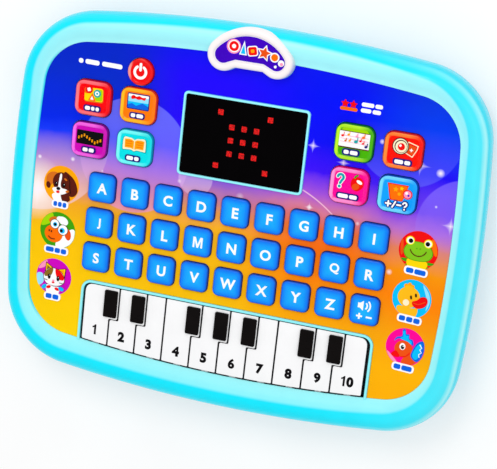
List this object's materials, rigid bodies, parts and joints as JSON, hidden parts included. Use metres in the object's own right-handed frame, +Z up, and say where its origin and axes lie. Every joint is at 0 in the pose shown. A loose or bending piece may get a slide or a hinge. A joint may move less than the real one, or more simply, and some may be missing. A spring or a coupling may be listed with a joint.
{
  "type": "toy learning tablet",
  "caption": "Toy learning tablet: rounded case with a printed face, letter keys, a small piano, picture buttons and a dot display.",
  "frame": {"origin": "centre of the footprint on the table", "axes": "+X to the right along the long side, +Y towards the far edge with the badge, +Z up through the face"},
  "size_m": [0.24, 0.192, 0.032],
  "materials": {
    "case": "glossy moulded plastic, rounded rim",
    "rear": "fine spark-eroded texture",
    "film": "printed film: deep blue to violet to orange, clear gloss over the print",
    "window": "smoked, polished display window",
    "badge": "white gloss frame round a violet print",
    "letter_key": "bright blue, domed, with a white letter",
    "white_key": "white gloss with a black digit and a raised black key",
    "power": "red gloss with a white on-off sign",
    "button_blocks": "red gloss with a printed picture",
    "button_picture": "orange gloss with a printed picture",
    "button_led": "magenta gloss with a printed picture",
    "button_book": "teal gloss with a printed picture",
    "button_sheet": "green gloss with a printed picture",
    "button_disc": "red gloss with a printed picture",
    "button_question": "pink gloss with a printed picture",
    "button_sums": "blue gloss with a printed picture",
    "board": "green circuit board",
    "led": "dark display block with small square lamps",
    "silicone": "soft silicone sheet",
    "speaker": "dark cone and frame",
    "cell": "plain wrapped cell",
    "contact": "nickel-plated steel",
    "screw": "zinc-plated steel"
  },
  "bodies": {
    "case": {"front_shell": "case", "rear_shell": "rear", "face_film": "film", "screen_window": "window", "badge": "badge", "main_board": "board", "led_matrix": "led", "speaker": "speaker", "key_mat": "silicone", "batteries": "cell", "battery_contacts": "contact", "case_screws": "screw"},
    "battery_door": {"battery_door": "rear", "door_screw": "screw"},
    "power_button": {"power_button": "power"},
    "key_A": {"key_A": "letter_key"},
    "key_B": {"key_B": "letter_key"},
    "key_C": {"key_C": "letter_key"},
    "key_D": {"key_D": "letter_key"},
    "key_E": {"key_E": "letter_key"},
    "key_F": {"key_F": "letter_key"},
    "key_G": {"key_G": "letter_key"},
    "key_H": {"key_H": "letter_key"},
    "key_I": {"key_I": "letter_key"},
    "key_J": {"key_J": "letter_key"},
    "key_K": {"key_K": "letter_key"},
    "key_L": {"key_L": "letter_key"},
    "key_M": {"key_M": "letter_key"},
    "key_N": {"key_N": "letter_key"},
    "key_O": {"key_O": "letter_key"},
    "key_P": {"key_P": "letter_key"},
    "key_Q": {"key_Q": "letter_key"},
    "key_R": {"key_R": "letter_key"},
    "key_S": {"key_S": "letter_key"},
    "key_T": {"key_T": "letter_key"},
    "key_U": {"key_U": "letter_key"},
    "key_V": {"key_V": "letter_key"},
    "key_W": {"key_W": "letter_key"},
    "key_X": {"key_X": "letter_key"},
    "key_Y": {"key_Y": "letter_key"},
    "key_Z": {"key_Z": "letter_key"},
    "volume_key": {"volume_key": "letter_key"},
    "button_blocks": {"button_blocks": "button_blocks"},
    "button_picture": {"button_picture": "button_picture"},
    "button_led": {"button_led": "button_led"},
    "button_book": {"button_book": "button_book"},
    "button_sheet": {"button_sheet": "button_sheet"},
    "button_disc": {"button_disc": "button_disc"},
    "button_question": {"button_question": "button_question"},
    "button_sums": {"button_sums": "button_sums"},
    "piano_key_1": {"piano_key_1": "white_key"},
    "piano_key_2": {"piano_key_2": "white_key"},
    "piano_key_3": {"piano_key_3": "white_key"},
    "piano_key_4": {"piano_key_4": "white_key"},
    "piano_key_5": {"piano_key_5": "white_key"},
    "piano_key_6": {"piano_key_6": "white_key"},
    "piano_key_7": {"piano_key_7": "white_key"},
    "piano_key_8": {"piano_key_8": "white_key"},
    "piano_key_9": {"piano_key_9": "white_key"},
    "piano_key_10": {"piano_key_10": "white_key"}
  },
  "joints": [
    {"name": "key_A_press", "type": "slide", "parent": "case", "child": "key_A", "axis": [0, 0, -1], "range_m": [0, 0.0012], "stiffness_N_per_m": 60, "springref_m": -0.0006},
    {"name": "key_B_press", "type": "slide", "parent": "case", "child": "key_B", "axis": [0, 0, -1], "range_m": [0, 0.0012], "stiffness_N_per_m": 60, "springref_m": -0.0006},
    {"name": "key_C_press", "type": "slide", "parent": "case", "child": "key_C", "axis": [0, 0, -1], "range_m": [0, 0.0012], "stiffness_N_per_m": 60, "springref_m": -0.0006},
    {"name": "key_D_press", "type": "slide", "parent": "case", "child": "key_D", "axis": [0, 0, -1], "range_m": [0, 0.0012], "stiffness_N_per_m": 60, "springref_m": -0.0006},
    {"name": "key_E_press", "type": "slide", "parent": "case", "child": "key_E", "axis": [0, 0, -1], "range_m": [0, 0.0012], "stiffness_N_per_m": 60, "springref_m": -0.0006},
    {"name": "key_F_press", "type": "slide", "parent": "case", "child": "key_F", "axis": [0, 0, -1], "range_m": [0, 0.0012], "stiffness_N_per_m": 60, "springref_m": -0.0006},
    {"name": "key_G_press", "type": "slide", "parent": "case", "child": "key_G", "axis": [0, 0, -1], "range_m": [0, 0.0012], "stiffness_N_per_m": 60, "springref_m": -0.0006},
    {"name": "key_H_press", "type": "slide", "parent": "case", "child": "key_H", "axis": [0, 0, -1], "range_m": [0, 0.0012], "stiffness_N_per_m": 60, "springref_m": -0.0006},
    {"name": "key_I_press", "type": "slide", "parent": "case", "child": "key_I", "axis": [0, 0, -1], "range_m": [0, 0.0012], "stiffness_N_per_m": 60, "springref_m": -0.0006},
    {"name": "key_J_press", "type": "slide", "parent": "case", "child": "key_J", "axis": [0, 0, -1], "range_m": [0, 0.0012], "stiffness_N_per_m": 60, "springref_m": -0.0006},
    {"name": "key_K_press", "type": "slide", "parent": "case", "child": "key_K", "axis": [0, 0, -1], "range_m": [0, 0.0012], "stiffness_N_per_m": 60, "springref_m": -0.0006},
    {"name": "key_L_press", "type": "slide", "parent": "case", "child": "key_L", "axis": [0, 0, -1], "range_m": [0, 0.0012], "stiffness_N_per_m": 60, "springref_m": -0.0006},
    {"name": "key_M_press", "type": "slide", "parent": "case", "child": "key_M", "axis": [0, 0, -1], "range_m": [0, 0.0012], "stiffness_N_per_m": 60, "springref_m": -0.0006},
    {"name": "key_N_press", "type": "slide", "parent": "case", "child": "key_N", "axis": [0, 0, -1], "range_m": [0, 0.0012], "stiffness_N_per_m": 60, "springref_m": -0.0006},
    {"name": "key_O_press", "type": "slide", "parent": "case", "child": "key_O", "axis": [0, 0, -1], "range_m": [0, 0.0012], "stiffness_N_per_m": 60, "springref_m": -0.0006},
    {"name": "key_P_press", "type": "slide", "parent": "case", "child": "key_P", "axis": [0, 0, -1], "range_m": [0, 0.0012], "stiffness_N_per_m": 60, "springref_m": -0.0006},
    {"name": "key_Q_press", "type": "slide", "parent": "case", "child": "key_Q", "axis": [0, 0, -1], "range_m": [0, 0.0012], "stiffness_N_per_m": 60, "springref_m": -0.0006},
    {"name": "key_R_press", "type": "slide", "parent": "case", "child": "key_R", "axis": [0, 0, -1], "range_m": [0, 0.0012], "stiffness_N_per_m": 60, "springref_m": -0.0006},
    {"name": "key_S_press", "type": "slide", "parent": "case", "child": "key_S", "axis": [0, 0, -1], "range_m": [0, 0.0012], "stiffness_N_per_m": 60, "springref_m": -0.0006},
    {"name": "key_T_press", "type": "slide", "parent": "case", "child": "key_T", "axis": [0, 0, -1], "range_m": [0, 0.0012], "stiffness_N_per_m": 60, "springref_m": -0.0006},
    {"name": "key_U_press", "type": "slide", "parent": "case", "child": "key_U", "axis": [0, 0, -1], "range_m": [0, 0.0012], "stiffness_N_per_m": 60, "springref_m": -0.0006},
    {"name": "key_V_press", "type": "slide", "parent": "case", "child": "key_V", "axis": [0, 0, -1], "range_m": [0, 0.0012], "stiffness_N_per_m": 60, "springref_m": -0.0006},
    {"name": "key_W_press", "type": "slide", "parent": "case", "child": "key_W", "axis": [0, 0, -1], "range_m": [0, 0.0012], "stiffness_N_per_m": 60, "springref_m": -0.0006},
    {"name": "key_X_press", "type": "slide", "parent": "case", "child": "key_X", "axis": [0, 0, -1], "range_m": [0, 0.0012], "stiffness_N_per_m": 60, "springref_m": -0.0006},
    {"name": "key_Y_press", "type": "slide", "parent": "case", "child": "key_Y", "axis": [0, 0, -1], "range_m": [0, 0.0012], "stiffness_N_per_m": 60, "springref_m": -0.0006},
    {"name": "key_Z_press", "type": "slide", "parent": "case", "child": "key_Z", "axis": [0, 0, -1], "range_m": [0, 0.0012], "stiffness_N_per_m": 60, "springref_m": -0.0006},
    {"name": "volume_key_press", "type": "slide", "parent": "case", "child": "volume_key", "axis": [0, 0, -1], "range_m": [0, 0.0012], "stiffness_N_per_m": 60, "springref_m": -0.0006},
    {"name": "button_blocks_press", "type": "slide", "parent": "case", "child": "button_blocks", "axis": [0, 0, -1], "range_m": [0, 0.0012], "stiffness_N_per_m": 60, "springref_m": -0.0006},
    {"name": "button_picture_press", "type": "slide", "parent": "case", "child": "button_picture", "axis": [0, 0, -1], "range_m": [0, 0.0012], "stiffness_N_per_m": 60, "springref_m": -0.0006},
    {"name": "button_led_press", "type": "slide", "parent": "case", "child": "button_led", "axis": [0, 0, -1], "range_m": [0, 0.0012], "stiffness_N_per_m": 60, "springref_m": -0.0006},
    {"name": "button_book_press", "type": "slide", "parent": "case", "child": "button_book", "axis": [0, 0, -1], "range_m": [0, 0.0012], "stiffness_N_per_m": 60, "springref_m": -0.0006},
    {"name": "button_sheet_press", "type": "slide", "parent": "case", "child": "button_sheet", "axis": [0, 0, -1], "range_m": [0, 0.0012], "stiffness_N_per_m": 60, "springref_m": -0.0006},
    {"name": "button_disc_press", "type": "slide", "parent": "case", "child": "button_disc", "axis": [0, 0, -1], "range_m": [0, 0.0012], "stiffness_N_per_m": 60, "springref_m": -0.0006},
    {"name": "button_question_press", "type": "slide", "parent": "case", "child": "button_question", "axis": [0, 0, -1], "range_m": [0, 0.0012], "stiffness_N_per_m": 60, "springref_m": -0.0006},
    {"name": "button_sums_press", "type": "slide", "parent": "case", "child": "button_sums", "axis": [0, 0, -1], "range_m": [0, 0.0012], "stiffness_N_per_m": 60, "springref_m": -0.0006},
    {"name": "power_button_press", "type": "slide", "parent": "case", "child": "power_button", "axis": [0, 0, -1], "range_m": [0, 0.0012], "stiffness_N_per_m": 60, "springref_m": -0.0006},
    {"name": "piano_key_1_press", "type": "hinge", "parent": "case", "child": "piano_key_1", "pos_m": [-0.06615, -0.07727, 0.0253], "axis": [-1, 0, 0], "range_deg": [0, 2], "stiffness_Nm_per_rad": 0.02, "springref_deg": -3.44},
    {"name": "piano_key_2_press", "type": "hinge", "parent": "case", "child": "piano_key_2", "pos_m": [-0.05145, -0.07851, 0.0253], "axis": [-1, 0, 0], "range_deg": [0, 2], "stiffness_Nm_per_rad": 0.02, "springref_deg": -3.44},
    {"name": "piano_key_3_press", "type": "hinge", "parent": "case", "child": "piano_key_3", "pos_m": [-0.03675, -0.07944, 0.0253], "axis": [-1, 0, 0], "range_deg": [0, 2], "stiffness_Nm_per_rad": 0.02, "springref_deg": -3.44},
    {"name": "piano_key_4_press", "type": "hinge", "parent": "case", "child": "piano_key_4", "pos_m": [-0.02205, -0.08005, 0.0253], "axis": [-1, 0, 0], "range_deg": [0, 2], "stiffness_Nm_per_rad": 0.02, "springref_deg": -3.44},
    {"name": "piano_key_5_press", "type": "hinge", "parent": "case", "child": "piano_key_5", "pos_m": [-0.00735, -0.08036, 0.0253], "axis": [-1, 0, 0], "range_deg": [0, 2], "stiffness_Nm_per_rad": 0.02, "springref_deg": -3.44},
    {"name": "piano_key_6_press", "type": "hinge", "parent": "case", "child": "piano_key_6", "pos_m": [0.00735, -0.08036, 0.0253], "axis": [-1, 0, 0], "range_deg": [0, 2], "stiffness_Nm_per_rad": 0.02, "springref_deg": -3.44},
    {"name": "piano_key_7_press", "type": "hinge", "parent": "case", "child": "piano_key_7", "pos_m": [0.02205, -0.08005, 0.0253], "axis": [-1, 0, 0], "range_deg": [0, 2], "stiffness_Nm_per_rad": 0.02, "springref_deg": -3.44},
    {"name": "piano_key_8_press", "type": "hinge", "parent": "case", "child": "piano_key_8", "pos_m": [0.03675, -0.07944, 0.0253], "axis": [-1, 0, 0], "range_deg": [0, 2], "stiffness_Nm_per_rad": 0.02, "springref_deg": -3.44},
    {"name": "piano_key_9_press", "type": "hinge", "parent": "case", "child": "piano_key_9", "pos_m": [0.05145, -0.07851, 0.0253], "axis": [-1, 0, 0], "range_deg": [0, 2], "stiffness_Nm_per_rad": 0.02, "springref_deg": -3.44},
    {"name": "piano_key_10_press", "type": "hinge", "parent": "case", "child": "piano_key_10", "pos_m": [0.06615, -0.07727, 0.0253], "axis": [-1, 0, 0], "range_deg": [0, 2], "stiffness_Nm_per_rad": 0.02, "springref_deg": -3.44},
    {"name": "battery_door_open", "type": "hinge", "parent": "case", "child": "battery_door", "pos_m": [0, -0.02155, 0.0013], "axis": [-1, 0, 0], "range_deg": [0, 100]}
  ]
}
